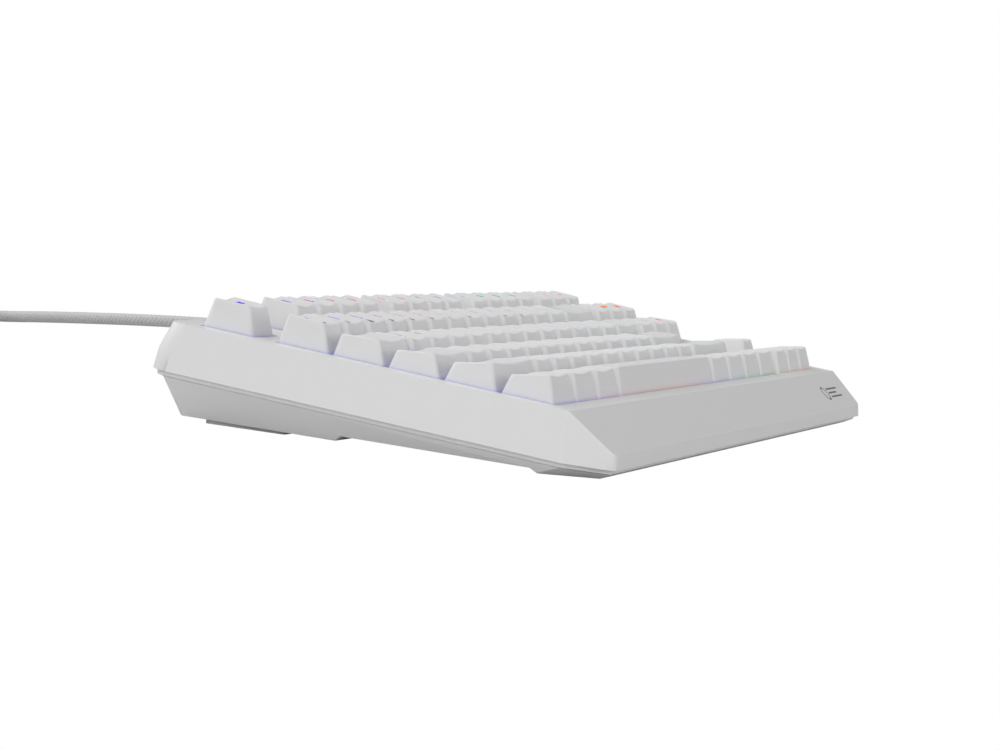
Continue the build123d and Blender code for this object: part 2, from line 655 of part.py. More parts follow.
def keycap(width, row):
    """A cap from the front left corner of its grid cell: hollow, dished, on cross sockets."""
    front_y, front_z, back_y, back_z = ROW_PROFILES[row]
    right = width * UNIT
    foot = ((CAP_GAP, right - CAP_GAP), (CAP_GAP, UNIT - CAP_GAP))
    head = ((CAP_TOP_SIDE, right - CAP_TOP_SIDE), (front_y, front_z), (back_y, back_z))
    cap = frustum(foot, CAP_FOOT, head, 0)
    is_space = width > 6
    if not is_space:
        cap -= dish(width, row)
    wall = CAP_WALL
    hollow_foot = tuple((low + wall, high - wall) for low, high in foot)
    roof = DISH_DEPTH + wall
    hollow_head = (
        (CAP_TOP_SIDE + wall, right - CAP_TOP_SIDE - wall),
        (front_y + wall, front_z - roof),
        (back_y - wall, back_z - roof),
    )
    cap -= frustum(hollow_foot, CAP_FOOT - 0.01, hollow_head, wall)
    middle_y = UNIT / 2
    share = (middle_y - front_y) / (back_y - front_y)
    roof_z = front_z + (back_z - front_z) * share - DISH_DEPTH - 0.8
    post_low = PLATE_TOP + STEM_SHOULDER + 0.2
    spread = stabilised(width)
    places = (0,) if spread is None else (-spread, 0, spread)
    for offset in places:
        x = right / 2 + offset
        cap += rod(CAP_POST_RADIUS, x, middle_y, post_low, roof_z)
        socket = cross(post_low - 1, PLATE_TOP + STEM_TOP + 0.2, 0.03)
        cap -= Pos(x, middle_y, 0) * socket
    return cap


STEM, STABILISER_STEM = stem(), stabiliser_stem()


def key_solids(row, left, width):
    """A key's cap with the stem of its switch and those of its stabilisers."""
    x, y = key_middle(row, left, width)
    corner = Pos(x - width * UNIT / 2, row_start(row), 0)
    solids = [place(corner * keycap(width, row)), place(Pos(x, y, PLATE_TOP) * STEM)]
    spread = stabilised(width)
    if spread:
        for side in (-1, 1):
            solids.append(place(Pos(x + side * spread, y, PLATE_TOP) * STABILISER_STEM))
    return solids


# ---------------------------------------------------------------- cord
def outlet_point():
    """Row-frame y and z where the cord's boot meets the rear wall."""
    share = (OUTLET_Z - KNEE_Z) / (SEAM_Z - KNEE_Z)
    return row_point(KNEE_Y + (SEAM_REAR - KNEE_Y) * share, OUTLET_Z)


OUTLET_Y, OUTLET_HEIGHT = outlet_point()
BOOT_TIP_Y = OUTLET_Y + BOOT_LENGTH
COIL_BOTTOM = TIE_THICKNESS
COIL_TOP = COIL_BOTTOM + COIL_PITCH * COIL_LAYERS

LEAD_ROUTE = [
    (0.0, BOOT_TIP_Y, OUTLET_HEIGHT),
    (1.5, 134.0, 19.5),
    (8.0, 170.0, 16.8),
    (20.0, 202.0, 13.6),
    (38.0, 236.0, 9.8),
    (59.0, 270.0, 5.5),
    (68.9, 297.4, 3.4),
]
EXIT_DIRECTION = (
    -math.sin(math.radians(COIL_EXIT_ANGLE)),
    math.cos(math.radians(COIL_EXIT_ANGLE)),
)
TAIL_START = (
    COIL_CENTRE[0] + COIL_RADII[1] * EXIT_DIRECTION[1],
    COIL_CENTRE[1] - COIL_RADII[1] * EXIT_DIRECTION[0],
)
TAIL_HEIGHTS = [(0.0, 17.8), (18.0, 16.4), (36.0, 9.8), (54.0, 4.6), (66.0, 4.5)]
TAIL_ROUTE = [
    (TAIL_START[0] + along * EXIT_DIRECTION[0], TAIL_START[1] + along * EXIT_DIRECTION[1], z)
    for along, z in TAIL_HEIGHTS
]
PLUG_BODY = (16.0, 8.4, 30.0)
PLUG_SHELL = (12.0, 4.5, 12.5)
PLUG_BOOT_LENGTH = 10.0


def corner_radii(route):
    """The largest even radius at each corner of a route, and half of each turn."""
    points = [Vector(*point) for point in route]
    radii = []
    for before, here, after in zip(points, points[1:], points[2:]):
        turn = (here - before).get_angle(after - here)
        shorter = min((here - before).length, (after - here).length)
        radii.append(0.45 * shorter / math.tan(math.radians(turn / 2)))
    return radii


def cord_tube(route, name):
    """A round tube along straight runs and tangent arcs."""
    radii = corner_radii(route)
    path = FilletPolyline(*route, radius=radii)
    start = path.edges()[0]
    section = Plane(origin=start @ 0, z_dir=start % 0) * Circle(CORD_DIAMETER / 2)
    tube = sweep(section, path=path)
    expected = math.pi * (CORD_DIAMETER / 2) ** 2 * path.length
    print(name, "radii", [round(radius, 1) for radius in radii])
    print(name, "length", round(path.length, 1), "volume share", round(tube.volume / expected, 4))
    return tube


def strain_relief():
    """The tapered boot around the cord, with its collar inside the rear wall."""
    y, z = OUTLET_Y, OUTLET_HEIGHT
    along = Plane(origin=(0, y, z), z_dir=(0, 1, 0))
    boot = along * Pos(0, 0, BOOT_LENGTH / 2) * Cone(OUTLET_RADIUS - 0.1, BOOT_TIP_RADIUS, BOOT_LENGTH)
    neck = along * Pos(0, 0, -3) * Cylinder(OUTLET_RADIUS - 0.35, 7)
    collar = along * Pos(0, 0, -5.6) * Cylinder(BOOT_COLLAR_RADIUS, BOOT_COLLAR_LENGTH)
    return boot + neck + collar


def cord_coil():
    """The outer form of the wound length of cord."""
    half = CORD_DIAMETER / 2 + 0.05
    x, y = COIL_CENTRE
    outer = rod(COIL_RADII[1] + half, x, y, COIL_BOTTOM, COIL_TOP)
    return outer - rod(COIL_RADII[0] - half, x, y, COIL_BOTTOM - 1, COIL_TOP + 1)


def cord_tie():
    """The strap that holds the coil's turns together."""
    half = CORD_DIAMETER / 2 + 0.4
    inner_x = (COIL_RADII[0] - half - 0.5, COIL_RADII[1] + half)
    outer_x = (inner_x[0] - TIE_THICKNESS, inner_x[1] + TIE_THICKNESS)
    strap = block(outer_x, (-4, 4), (0, COIL_TOP + TIE_THICKNESS))
    strap -= block(inner_x, (-5, 5), (COIL_BOTTOM, COIL_TOP))
    return Pos(*COIL_CENTRE, 0) * Rot(0, 0, 200) * strap


def plug_frame():
    """The plane at the plug's back, its z along the plug, its x across it."""
    back = TAIL_ROUTE[-1]
    z_dir = Vector(*EXIT_DIRECTION, 0)
    return Plane(origin=back, x_dir=(EXIT_DIRECTION[1], -EXIT_DIRECTION[0], 0), z_dir=z_dir)


def usb_plug_body():
    """The plug's moulded grip and its boot."""
    width, height, length = PLUG_BODY
    boot = Pos(0, 0, PLUG_BOOT_LENGTH / 2) * Cone(2.6, 3.8, PLUG_BOOT_LENGTH)
    grip = Pos(0, 0, PLUG_BOOT_LENGTH + length / 2) * Box(width, height, length)
    long_edges = [edge for edge in grip.edges() if abs(edge.tangent_at(0.5).Z) > 0.9]
    return plug_frame() * (boot + fillet(long_edges, 2.0))


def usb_plug_shell():
    """The plug's metal shell and the contact tongue inside it."""
    width, height, length = PLUG_SHELL
    start = PLUG_BOOT_LENGTH + PLUG_BODY[2]
    wall = 0.4
    shell = Box(width, height, length) - Pos(0, 0, 1) * Box(width - 2 * wall, height - 2 * wall, length)
    middle = Pos(0, 0, start + length / 2)
    tongue = Pos(0, -0.7, start + 1 + (length - 2) / 2 - 0.5) * Box(10.8, 1.6, length - 2)
    return [plug_frame() * (middle * shell), plug_frame() * tongue]


# ---------------------------------------------------------------- write the nodes
def main():
    write("top_shell", place(top_shell()))
    write("bottom_shell", bottom_shell())
    write("switch_plate", switch_plate())
    write("circuit_board", *circuit_board())
    write("switch_lower_housings", *at_switches(lower_housing()))
    write("switch_upper_housings", *at_switches(upper_housing()))
    write("switch_springs", *at_switches(spring()))
    write("switch_leds", *at_switches(light()))

    housings = []
    for name, x, y, spread in stabilisers():
        for side in (-1, 1):
            spot = Pos(x + side * spread, y, PLATE_TOP)
            housings.append(place(spot * stabiliser_housing(-side)))
        wire_name = name.replace("key_", "stabiliser_wire_")
        write(wire_name, place(Pos(x, y, PLATE_TOP) * stabiliser_wire(spread)))
    write("stabiliser_housings", *housings)

    for name, row, left, width in SINGLE_KEYS:
        write(name, *key_solids(row, left, width))
    for name, row, first, count in KEY_BLOCKS:
        solids = []
        for index in range(count):
            solids += key_solids(row, first + index, 1.0)
        write(name, *solids)

    write("rubber_feet", *rubber_feet())
    write("case_screws", *case_screws())
    write("flip_foot_left", flip_foot(-1))
    write("flip_foot_right", flip_foot(1))
    write("strain_relief", strain_relief())
    write("usb_cord", cord_tube(LEAD_ROUTE, "usb_cord"))
    write("cord_coil", cord_coil())
    write("cord_tail", cord_tube(TAIL_ROUTE, "cord_tail"))
    write("cord_tie", cord_tie())
    write("usb_plug_body", usb_plug_body())
    write("usb_plug_shell", *usb_plug_shell())


main()
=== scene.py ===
import math

import bmesh
import bpy
from mathutils import Matrix, Vector


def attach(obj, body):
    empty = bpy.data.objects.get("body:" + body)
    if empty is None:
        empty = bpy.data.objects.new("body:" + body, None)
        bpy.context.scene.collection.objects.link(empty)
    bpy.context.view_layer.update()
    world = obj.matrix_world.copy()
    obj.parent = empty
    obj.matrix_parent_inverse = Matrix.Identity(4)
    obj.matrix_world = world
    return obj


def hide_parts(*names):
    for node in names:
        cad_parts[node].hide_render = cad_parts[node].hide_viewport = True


# A white tenkeyless mechanical keyboard on a pale studio floor.
# Everything is in metres in the part's frame; lengths named *_MM are in millimetres.

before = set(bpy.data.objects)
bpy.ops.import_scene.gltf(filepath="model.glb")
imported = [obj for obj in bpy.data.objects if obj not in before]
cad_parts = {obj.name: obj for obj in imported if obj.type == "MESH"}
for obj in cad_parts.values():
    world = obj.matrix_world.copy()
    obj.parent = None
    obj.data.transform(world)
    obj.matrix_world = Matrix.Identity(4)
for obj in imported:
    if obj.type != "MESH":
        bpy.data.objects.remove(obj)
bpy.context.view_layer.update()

MM = 0.001

# ---------------------------------------------------------------- measures shared with the part
UNIT = 19.05 * MM               # key pitch
FIELD_UNITS = 18.25
HALF_FIELD = FIELD_UNITS * UNIT / 2
FUNCTION_GAP = 0.39             # gap in front of the function row, in key pitches
LEAN = math.radians(4.6)
PLATE_ORIGIN = Vector((0, -55.974, 21.3)) * MM
PLATE_TOP = -7.2 * MM
TRAVEL_AXIS = Vector((0, -math.sin(LEAN), math.cos(LEAN)))
PLATE_MATRIX = Matrix.Translation(PLATE_ORIGIN) @ Matrix.Rotation(LEAN, 4, "X")

# rows from the front: front edge of the cap's top (y, z) and its back edge, from the row's start
ROW_PROFILES = [
    (4.22, 8.73, 16.83, 6.18),
    (4.26, 8.52, 16.85, 6.06),
    (4.58, 7.36, 17.16, 6.00),
    (4.38, 7.82, 17.39, 7.24),
    (4.74, 9.31, 17.44, 9.71),
    (4.26, 9.38, 17.04, 9.73),
]
FUNCTION_ROW = 5

# body, row, left edge in key pitches, width, and the legend
SINGLE_KEYS = [
    ("key_left_ctrl", 0, 0.0, 1.25, "Ctrl"),
    ("key_left_system", 0, 1.25, 1.25, "Sys"),
    ("key_left_alt", 0, 2.5, 1.25, "Alt"),
    ("key_space", 0, 3.75, 6.25, ""),
    ("key_right_alt", 0, 10.0, 1.25, "Alt"),
    ("key_fn", 0, 11.25, 1.25, "Fn"),
    ("key_menu", 0, 12.5, 1.25, "Menu"),
    ("key_right_ctrl", 0, 13.75, 1.25, "Ctrl"),
    ("key_left", 0, 15.25, 1.0, "<"),
    ("key_down", 0, 16.25, 1.0, "v"),
    ("key_right", 0, 17.25, 1.0, ">"),
    ("key_left_shift", 1, 0.0, 2.25, "Shift"),
    ("key_right_shift", 1, 12.25, 2.75, "Shift"),
    ("key_up", 1, 16.25, 1.0, "^"),
    ("key_caps_lock", 2, 0.0, 1.75, "Caps"),
    ("key_enter", 2, 12.75, 2.25, "Enter"),
    ("key_tab", 3, 0.0, 1.5, "Tab"),
    ("key_backslash", 3, 13.5, 1.5, "\\"),
    ("key_delete", 3, 15.25, 1.0, "Del"),
    ("key_end", 3, 16.25, 1.0, "End"),
    ("key_page_down", 3, 17.25, 1.0, "PgDn"),
    ("key_grave", 4, 0.0, 1.0, "`"),
    ("key_backspace", 4, 13.0, 2.0, "Back"),
    ("key_insert", 4, 15.25, 1.0, "Ins"),
    ("key_home", 4, 16.25, 1.0, "Home"),
    ("key_page_up", 4, 17.25, 1.0, "PgUp"),
    ("key_escape", 5, 0.0, 1.0, "Esc"),
]
# body, row, left edge of the first key, and the legends of its keys
KEY_BLOCKS = [
    ("keys_z_to_slash", 1, 2.25, "Z X C V B N M , . /"),
    ("keys_a_to_quote", 2, 1.75, "A S D F G H J K L ; '"),
    ("keys_q_to_bracket", 3, 1.5, "Q W E R T Y U I O P [ ]"),
    ("keys_1_to_equals", 4, 1.0, "1 2 3 4 5 6 7 8 9 0 - ="),
    ("keys_f1_to_f4", 5, 2.0, "F1 F2 F3 F4"),
    ("keys_f5_to_f8", 5, 6.5, "F5 F6 F7 F8"),
    ("keys_f9_to_f12", 5, 11.0, "F9 F10 F11 F12"),
    ("keys_print_to_pause", 5, 15.25, "Prt Scr Pau"),
]

# the cord's route, from the boot's tip to the wound part and from there to the plug
CORD_DIAMETER = 4.7 * MM
COIL_CENTRE = Vector((46.3, 307.2, 0)) * MM
COIL_RADII = (15.0 * MM, 19.8 * MM, 24.6 * MM)
COIL_FIRST_LAYER = 3.4 * MM
COIL_LAYER_STEP = 4.8 * MM
COIL_START = Vector((68.9, 297.4, 0)) * MM
COIL_TURNS = 10.396
COIL_POINTS_PER_TURN = 14
BRAID_BANDS, BRAID_CELL = 6, 2.1 * MM
BRAID_STEP, BRAID_SPOKES = 0.4 * MM, 32
BRAID_DEPTH = 0.2 * MM
BRAID_PAINTED_SHADE_BELOW = 1.0         # relief of three neighbouring points, together, below which a face gets the painted shade of the braid's valleys
LEAD_ROUTE_MM = [
    (0.0, 99.8, 21.59),
    (1.5, 134.0, 19.5),
    (8.0, 170.0, 16.8),
    (20.0, 202.0, 13.6),
    (38.0, 236.0, 9.8),
    (59.0, 270.0, 5.5),
]


# ---------------------------------------------------------------- camera
def make_camera():
    """The camera: a long lens from the front left, a little above the desk."""
    right = Vector((0.331932, -0.937018, 0.108716))
    up = Vector((0.034839, 0.12735, 0.991246))
    forward = Vector((0.94266, 0.325238, -0.074917))
    data = bpy.data.cameras.new("camera")
    data.lens = 101.09
    data.sensor_width = 36.0
    data.clip_start = 0.05
    camera = bpy.data.objects.new("camera", data)
    axes = Matrix((right, up, -forward)).transposed().to_4x4()
    camera.matrix_world = Matrix.Translation((-0.988417, -0.318307, 0.092943)) @ axes
    bpy.context.scene.collection.objects.link(camera)
    bpy.context.scene.camera = camera


make_camera()


# ---------------------------------------------------------------- shader helpers
def new_material(name):
    """An empty node material with its output node."""
    material = bpy.data.materials.new(name)
    material.use_nodes = True
    tree = material.node_tree
    tree.nodes.clear()
    return material, tree, tree.nodes.new("ShaderNodeOutputMaterial")


def add(tree, kind, *links, **settings):
    """A node with its properties and sockets set; links are (from socket, input name)."""
    node = tree.nodes.new(kind)
    for key, value in settings.items():
        if hasattr(node, key):
            setattr(node, key, value)
        else:
            node.inputs[key.replace("_", " ")].default_value = value
    for source, name in links:
        tree.links.new(source, node.inputs[name])
    return node


def principled(tree, output, **values):
    """A Principled shader on the output, its sockets set by name."""
    shader = tree.nodes.new("ShaderNodeBsdfPrincipled")
    for name, value in values.items():
        shader.inputs[name.replace("_", " ")].default_value = value
    tree.links.new(shader.outputs[0], output.inputs["Surface"])
    return shader


def object_place(tree):
    """The point on the object in the part's frame, in metres."""
    return add(tree, "ShaderNodeTexCoord").outputs["Object"]


def grain_bump(tree, shader, place, grain_mm, depth_mm, strength):
    """A fine moulded grain as bump on the shader."""
    scale = 1 / (grain_mm * MM)
    noise = add(tree, "ShaderNodeTexNoise", (place, "Vector"), Scale=scale, Detail=3.0)
    bump = add(tree, "ShaderNodeBump", (noise.outputs["Fac"], "Height"), Strength=strength)
    bump.inputs["Distance"].default_value = depth_mm * MM
    tree.links.new(bump.outputs["Normal"], shader.inputs["Normal"])
    return noise


def set_ramp(ramp, stops):
    """Fills a colour ramp with (position, colour) stops."""
    elements = ramp.color_ramp.elements
    while len(elements) > 1:
        elements.remove(elements[-1])
    elements[0].position, elements[0].color = stops[0][0], (*stops[0][1], 1)
    for position, colour in stops[1:]:
        element = elements.new(position)
        element.color = (*colour, 1)


# ---------------------------------------------------------------- light under the keys
# colour of the lights along the key field: place in key pitches, and colour
GLOW_STOPS = [
    (0.0, (0.03, 0.05, 1.0)),
    (1.4, (0.10, 0.05, 0.95)),
    (2.4, (0.26, 0.04, 0.80)),
    (3.4, (0.62, 0.03, 0.62)),
    (4.5, (0.85, 0.05, 0.38)),
    (5.6, (0.90, 0.04, 0.05)),
    (6.8, (1.00, 0.22, 0.02)),
    (7.8, (0.95, 0.12, 0.05)),
    (8.6, (0.75, 0.03, 0.55)),
    (9.5, (0.22, 0.04, 0.85)),
    (10.5, (0.03, 0.08, 1.0)),
    (11.5, (0.02, 0.45, 0.90)),
    (12.5, (0.02, 0.60, 0.45)),
    (13.8, (0.02, 0.60, 0.12)),
    (15.0, (0.20, 0.62, 0.03)),
    (15.9, (0.75, 0.60, 0.02)),
    (17.0, (1.00, 0.28, 0.02)),
    (18.25, (1.00, 0.16, 0.02)),
]


def glow_colour(tree, place):
    """The lights' colour at a point, from its place along the key field."""
    split = add(tree, "ShaderNodeSeparateXYZ", (place, "Vector"))
    across = add(tree, "ShaderNodeMapRange", (split.outputs["X"], "Value"))
    across.inputs["From Min"].default_value = -HALF_FIELD
    across.inputs["From Max"].default_value = HALF_FIELD
    ramp = add(tree, "ShaderNodeValToRGB", (across.outputs[0], "Fac"))
    set_ramp(ramp, [(place_u / FIELD_UNITS, colour) for place_u, colour in GLOW_STOPS])
    return ramp.outputs["Color"]


def plate_height(tree, place):
    """Height of a point above the bezel, square to the leaning plate."""
    origin = add(tree, "ShaderNodeVectorMath", (place, 0), operation="SUBTRACT")
    origin.inputs[1].default_value = PLATE_ORIGIN
    dot = add(tree, "ShaderNodeVectorMath", (origin.outputs[0], 0), operation="DOT_PRODUCT")
    dot.inputs[1].default_value = TRAVEL_AXIS
    return dot.outputs["Value"]


# ---------------------------------------------------------------- materials
KEYCAP_COLOUR = (0.77, 0.77, 0.775, 1)


def case_material(name, colour, roughness):
    """Moulded white plastic with a fine satin grain."""
    material, tree, output = new_material(name)
    shader = principled(tree, output, Base_Color=(*colour, 1), Roughness=roughness)
    shader.inputs["Specular IOR Level"].default_value = 0.4
    place = object_place(tree)
    noise = grain_bump(tree, shader, place, 0.35, 0.02, 0.25)
    tone = add(tree, "ShaderNodeMapRange", (noise.outputs["Fac"], "Value"))
    tone.inputs["To Min"].default_value = 0.97
    tone.inputs["To Max"].default_value = 1.03
    mixed = add(tree, "ShaderNodeVectorMath", (tone.outputs[0], "Scale"), operation="SCALE")
    mixed.inputs[0].default_value = colour
    tree.links.new(mixed.outputs[0], shader.inputs["Base Color"])
    return material


def keycap_material():
    """Translucent white plastic: a faint painted glow near its foot, and painted coloured light
    from the lights mixed into its colour in the last sliver.
    """
    material, tree, output = new_material("keycap_plastic")
    shader = principled(tree, output, Roughness=0.55)
    shader.inputs["Subsurface Weight"].default_value = 0.15
    shader.inputs["Subsurface Radius"].default_value = (1.0, 1.0, 1.0)
    shader.inputs["Subsurface Scale"].default_value = 0.8 * MM
    shader.inputs["Specular IOR Level"].default_value = 0.2
    place = object_place(tree)
    grain_bump(tree, shader, place, 0.3, 0.012, 0.2)
    height = plate_height(tree, place)
    colour = glow_colour(tree, place)
    # painted glow: the cap emits the lights' colour, fading out above its foot
    painted_glow_fade = add(tree, "ShaderNodeMapRange", (height, "Value"), interpolation_type="SMOOTHERSTEP")
    painted_glow_fade.inputs["From Min"].default_value = 5.0 * MM
    painted_glow_fade.inputs["From Max"].default_value = -1.0 * MM
    painted_glow_fade.inputs["To Max"].default_value = 0.03
    # painted coloured light: the lights' colour mixed into the base colour in the last sliver
    # above the foot
    foot = add(tree, "ShaderNodeMapRange", (height, "Value"), interpolation_type="SMOOTHSTEP")
    foot.inputs["From Min"].default_value = 0.6 * MM
    foot.inputs["From Max"].default_value = 0.0
    foot.inputs["To Max"].default_value = 0.14
    base = add(tree, "ShaderNodeMix", (foot.outputs[0], "Factor"), data_type="RGBA")
    base.inputs["A"].default_value = KEYCAP_COLOUR
    tree.links.new(colour, base.inputs["B"])
    tree.links.new(base.outputs["Result"], shader.inputs["Base Color"])
    tree.links.new(colour, shader.inputs["Emission Color"])
    tree.links.new(painted_glow_fade.outputs[0], shader.inputs["Emission Strength"])
    return material


def legend_material():
    """Legends that the lights shine through."""
    material, tree, output = new_material("legend_light")
    shader = principled(tree, output, Base_Color=(0.05, 0.05, 0.05, 1), Roughness=0.9)
    place = object_place(tree)
    tree.links.new(glow_colour(tree, place), shader.inputs["Emission Color"])
    shader.inputs["Emission Strength"].default_value = 0.85
    shader.inputs["Specular IOR Level"].default_value = 0.0
    return material


def glow_material(name, colour, strength, roughness):
    """A pale inner surface that the lights colour."""
    material, tree, output = new_material(name)
    shader = principled(tree, output, Base_Color=(*colour, 1), Roughness=roughness)
    place = object_place(tree)
    tree.links.new(glow_colour(tree, place), shader.inputs["Emission Color"])
    shader.inputs["Emission Strength"].default_value = strength
    grain_bump(tree, shader, place, 0.5, 0.02, 0.2)
    return material


def plain_material(name, colour, roughness, metallic=0.0, grain_mm=0.4):
    """A plain finish with a fine grain."""
    material, tree, output = new_material(name)
    shader = principled(tree, output, Base_Color=(*colour, 1), Roughness=roughness)
    shader.inputs["Metallic"].default_value = metallic
    grain_bump(tree, shader, object_place(tree), grain_mm, 0.02, 0.3)
    return material


CASE_TOP = case_material("case_top_plastic", (0.80, 0.80, 0.80), 0.42)
CASE_BOTTOM = case_material("case_bottom_plastic", (0.80, 0.80, 0.80), 0.5)
KEYCAP = keycap_material()
LEGEND = legend_material()
PLATE_PAINT = glow_material("plate_paint", (0.7, 0.7, 0.72), 0.3, 0.5)
HOUSING = glow_material("housing_plastic", (0.6, 0.6, 0.62), 0.25, 0.3)
LENS = glow_material("light_lens", (0.9, 0.9, 0.9), 3.0, 0.2)
BOARD = plain_material("board_laminate", (0.75, 0.75, 0.78), 0.5)
STEEL = plain_material("spring_steel", (0.6, 0.6, 0.62), 0.3, metallic=1.0)
DARK_STEEL = plain_material("screw_steel", (0.08, 0.08, 0.085), 0.4, metallic=1.0)
RUBBER = plain_material("foot_rubber", (0.55, 0.55, 0.55), 0.75)
PRINT = plain_material("printed_mark", (0.16, 0.16, 0.165), 0.6)
BOOT = plain_material("boot_rubber", (0.62, 0.62, 0.62), 0.6)
CORD = plain_material("cord_braid", (0.55, 0.55, 0.55), 0.75)
# darker grey for the braid's valleys: painted shade
CORD_PAINTED_SHADE = plain_material("cord_braid_painted_shade", (0.38, 0.38, 0.38), 0.8)
TIE = plain_material("tie_fabric", (0.12, 0.12, 0.13), 0.9)
PLUG = plain_material("plug_plastic", (0.66, 0.66, 0.66), 0.45)
PLUG_STEEL = plain_material("plug_steel", (0.7, 0.7, 0.72), 0.25, metallic=1.0)

NODE_MATERIALS = {
    "top_shell": CASE_TOP,
    "bottom_shell": CASE_BOTTOM,
    "flip_foot_left": CASE_BOTTOM,
    "flip_foot_right": CASE_BOTTOM,
    "switch_plate": PLATE_PAINT,
    "circuit_board": BOARD,
    "switch_lower_housings": HOUSING,
    "switch_upper_housings": HOUSING,
    "stabiliser_housings": HOUSING,
    "switch_leds": LENS,
    "switch_springs": STEEL,
    "case_screws": DARK_STEEL,
    "rubber_feet": RUBBER,
    "strain_relief": BOOT,
    "cord_tie": TIE,
    "usb_plug_body": PLUG,
    "usb_plug_shell": PLUG_STEEL,
}


def finish_node(name, material, bevel_mm=0.0):
    """Gives a CAD node its material, and rounds its edges a little."""
    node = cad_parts[name]
    node.data.materials.clear()
    node.data.materials.append(material)
    if bevel_mm:
        weld = node.modifiers.new("weld", "WELD")
        weld.merge_threshold = 0.002 * MM
        bevel = node.modifiers.new("bevel", "BEVEL")
        bevel.width = bevel_mm * MM
        bevel.segments = 3
        bevel.limit_method = "ANGLE"
        bevel.angle_limit = math.radians(18)
        bevel.use_clamp_overlap = True
        bevel.harden_normals = True
    return node


BEVELS_MM = {"top_shell": 0.6, "bottom_shell": 0.4, "flip_foot_left": 0.3, "flip_foot_right": 0.3}
for node_name, node_material in NODE_MATERIALS.items():
    finish_node(node_name, node_material, BEVELS_MM.get(node_name, 0.0))
for node_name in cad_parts:
    if node_name.startswith("stabiliser_wire"):
        finish_node(node_name, STEEL)


# ---------------------------------------------------------------- mesh helpers
def link_mesh(name, mesh, body, materials):
    """An object from a mesh, riding on a body."""
    piece = bpy.data.objects.new(name, mesh)
    bpy.context.scene.collection.objects.link(piece)
    for material in materials:
        mesh.materials.append(material)
    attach(piece, body)
    return piece


def lerp(a, b, t):
    return a + (b - a) * t


# ---------------------------------------------------------------- keycaps
CAP_GAP = 0.475
CAP_TOP_SIDE = 2.2
CAP_FOOT = -1.2
CAP_WALL = 1.5
DISH = 1.0
RIM_RADIUS = 0.55               # rounding between a cap's sides and its top
CORNER_RADIUS_FOOT, CORNER_RADIUS_TOP = 1.4, 1.7
CORNER_STEPS, SIDE_STEPS, RIM_STEPS = 6, 8, 6
INNER_TOP_SHARE = 0.78          # height of the cap's hollow, as a share of the cap
FOOT_BEVEL = 0.12
SIDE_SHARES = (0.12, 0.3, 0.5, 0.7, 0.85)       # heights of the rings up a cap's sides
TOP_SCALES = (0.93, 0.84, 0.7, 0.5, 0.25)       # rings on a cap's top, shrinking to its middle
SPACE_WIDTH = 6.25
STEM_HEIGHTS = (1.6, 6.5, 10.2)                 # foot, shoulder and tip above the plate
STEM_HALVES, CROSS_HALVES = (3.5, 2.6), (2.05, 0.65)
STEM_INDEX = 1                                  # place in a key's list of materials
LEGEND_SIZE, WORD_SIZE, SECOND_SIZE = 5.6, 4.3, 3.0
LEGEND_DEPTH, LEGEND_WEIGHT = 0.12, 0.2
LEGEND_MARGIN = 1.6
LEGEND_PLACE, SECOND_PLACE = 0.60, 0.22         # shares of the top's depth, from its front edge
LEGEND_INDEX, PRINT_INDEX = 2, 3                # places in a key's list of materials
# small dark legends near the front of some tops
SECOND_LEGENDS = {
    "1": "!", "2": "@", "3": "#", "4": "$", "5": "%", "6": "^", "7": "&", "8": "*",
    "9": "(", "0": ")", ",": "<", ".": ">", "/": "?", "Fn": "+", "`": "~",
}


def row_start(row):
    """Plate-frame y of a row's front edge, in millimetres."""
    return (row + (FUNCTION_GAP if row == FUNCTION_ROW else 0)) * UNIT / MM


def outline(x0, x1, y0, y1, radius, x_steps, y_steps):
    """Points round a rounded rectangle, the same number for any size."""
    corners = [
        (x1 - radius, y0 + radius, -90),
        (x1 - radius, y1 - radius, 0),
        (x0 + radius, y1 - radius, 90),
        (x0 + radius, y0 + radius, 180),
    ]
    points = []
    for index, (cx, cy, start) in enumerate(corners):
        for step in range(CORNER_STEPS + 1):
            angle = math.radians(start + 90 * step / CORNER_STEPS)
            points.append((cx + radius * math.cos(angle), cy + radius * math.sin(angle)))
        next_cx, next_cy, next_start = corners[(index + 1) % 4]
        angle = math.radians(next_start)
        target = (next_cx + radius * math.cos(angle), next_cy + radius * math.sin(angle))
        steps = y_steps if index % 2 == 0 else x_steps
        last = points[-1]
        for step in range(1, steps):
            share = step / steps
            points.append((lerp(last[0], target[0], share), lerp(last[1], target[1], share)))
    return points


def cap_top_z(x, y, width_mm, profile, dished):
    """Height of a cap's top, dish included, at a point in its cell."""
    front_y, front_z, back_y, back_z = profile
    z = lerp(front_z, back_z, (y - front_y) / (back_y - front_y))
    if dished:
        half = width_mm / 2 - CAP_TOP_SIDE
        z -= DISH * max(0.0, 1 - ((x - width_mm / 2) / half) ** 2)
    return z


